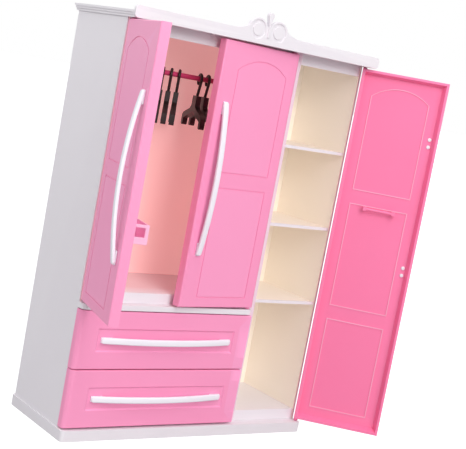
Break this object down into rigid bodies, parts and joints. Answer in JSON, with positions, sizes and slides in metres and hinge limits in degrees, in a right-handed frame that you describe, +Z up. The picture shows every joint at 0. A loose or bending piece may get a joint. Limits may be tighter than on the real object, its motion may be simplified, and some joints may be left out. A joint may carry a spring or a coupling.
{
  "type": "miniature wardrobe",
  "caption": "Dolls house wardrobe with hinged doors, drawers under a hanging compartment, a shelved side compartment and hangers on a rod.",
  "frame": {"origin": "middle of the underside of the base", "axes": "+Z up; the doors and drawers face -Y; +X is to the right when facing the doors"},
  "size_m": [0.3089, 0.154, 0.3379],
  "materials": {
    "body_white": "moulded white plastic, satin gloss",
    "door_pink": "moulded pink plastic, glossy",
    "handle_white": "moulded white plastic, glossy",
    "rod_crimson": "moulded crimson plastic, glossy",
    "hanger_black": "moulded black plastic, glossy"
  },
  "bodies": {
    "cabinet": {"base_plinth": "body_white", "left_side_panel": "body_white", "right_side_panel": "body_white", "back_panel": "body_white", "centre_divider": "body_white", "top_board": "body_white", "cornice": "body_white", "wide_header": "body_white", "narrow_header": "body_white", "hanging_floor": "body_white", "bay_floor": "body_white", "upper_shelf": "body_white", "middle_shelf": "body_white", "lower_shelf": "body_white", "drawer_shelf": "body_white", "upper_drawer_guide": "body_white", "lower_drawer_guide": "body_white", "door_catch": "body_white", "clothes_rod": "rod_crimson", "left_rod_socket": "body_white", "right_rod_socket": "body_white"},
    "left_door": {"left_door": "door_pink", "left_door_handle": "handle_white", "left_door_rack": "door_pink"},
    "centre_door": {"centre_door": "door_pink", "centre_door_handle": "handle_white"},
    "right_door": {"right_door": "door_pink", "right_door_handle": "handle_white", "right_door_rail": "door_pink"},
    "upper_drawer": {"upper_drawer_tray": "door_pink", "upper_drawer_front": "door_pink", "upper_drawer_handle": "handle_white"},
    "lower_drawer": {"lower_drawer_tray": "door_pink", "lower_drawer_front": "door_pink", "lower_drawer_handle": "handle_white"},
    "hanger_1": {"hanger_1": "hanger_black"},
    "hanger_2": {"hanger_2": "hanger_black"},
    "hanger_3": {"hanger_3": "hanger_black"},
    "hanger_4": {"hanger_4": "hanger_black"},
    "hanger_5": {"hanger_5": "hanger_black"}
  },
  "joints": [
    {"name": "left_door_hinge", "type": "hinge", "parent": "cabinet", "child": "left_door", "pos_m": [-0.1106, -0.0379, 0.2], "axis": [0, 0, 1], "range_deg": [-15.7, 104.3]},
    {"name": "centre_door_hinge", "type": "hinge", "parent": "cabinet", "child": "centre_door", "pos_m": [0.0382, -0.0379, 0.2], "axis": [0, 0, 1], "range_deg": [-4.6, 105.4]},
    {"name": "right_door_hinge", "type": "hinge", "parent": "cabinet", "child": "right_door", "pos_m": [0.1132, -0.0379, 0.2], "axis": [0, 0, 1], "range_deg": [-137, 13]},
    {"name": "upper_drawer_slide", "type": "slide", "parent": "cabinet", "child": "upper_drawer", "axis": [0, -1, 0], "range_m": [0, 0.05]},
    {"name": "lower_drawer_slide", "type": "slide", "parent": "cabinet", "child": "lower_drawer", "axis": [0, -1, 0], "range_m": [0, 0.05]},
    {"name": "hanger_1_swing", "type": "hinge", "parent": "cabinet", "child": "hanger_1", "pos_m": [-0.054, 0.002, 0.27855], "axis": [0.8434, -0.5373, 0], "range_deg": [-14, 14]},
    {"name": "hanger_2_swing", "type": "hinge", "parent": "cabinet", "child": "hanger_2", "pos_m": [-0.0465, 0.002, 0.27855], "axis": [0.8434, -0.5373, 0], "range_deg": [-14, 14]},
    {"name": "hanger_3_swing", "type": "hinge", "parent": "cabinet", "child": "hanger_3", "pos_m": [-0.039, 0.002, 0.27855], "axis": [0.8434, -0.5373, 0], "range_deg": [-14, 14]},
    {"name": "hanger_4_swing", "type": "hinge", "parent": "cabinet", "child": "hanger_4", "pos_m": [-0.019, 0.002, 0.27855], "axis": [0.9588, -0.284, 0], "range_deg": [-14, 14]},
    {"name": "hanger_5_swing", "type": "hinge", "parent": "cabinet", "child": "hanger_5", "pos_m": [-0.0115, 0.002, 0.27855], "axis": [0.9588, -0.284, 0], "range_deg": [-14, 14]}
  ]
}
